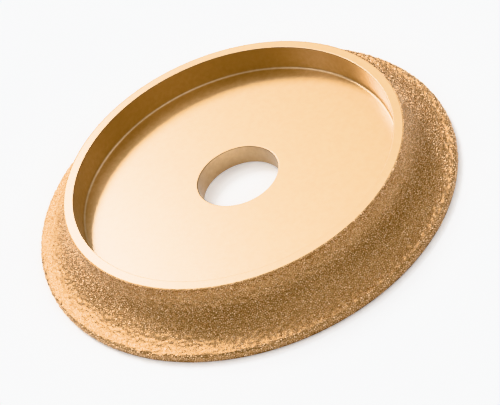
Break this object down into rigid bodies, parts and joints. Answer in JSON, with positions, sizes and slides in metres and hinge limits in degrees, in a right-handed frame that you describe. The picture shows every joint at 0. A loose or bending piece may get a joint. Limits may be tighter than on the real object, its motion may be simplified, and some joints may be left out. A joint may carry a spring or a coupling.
{
  "type": "diamond grinding wheel",
  "caption": "Cup-shaped steel wheel with a plain centre bore, a recessed face and a concave quarter-round working face coated with brazed diamond grit, for rounding stone edges.",
  "frame": {"origin": "centre of the bore on the flat back face, which is the face the machine's inner flange clamps", "axes": "+Z along the bore, from the back face towards the open side of the recess; X and Y lie in the back face and are alike, because the wheel is a solid of revolution"},
  "size_m": [0.115, 0.115, 0.0136],
  "materials": {
    "gold_lacquered_steel": "satin",
    "nickel_braze": "satin",
    "lacquered_grit": "satin"
  },
  "bodies": {
    "root": {"steel_body": "gold_lacquered_steel", "braze_bond": "nickel_braze", "diamond_grit": "lacquered_grit"}
  },
  "joints": []
}
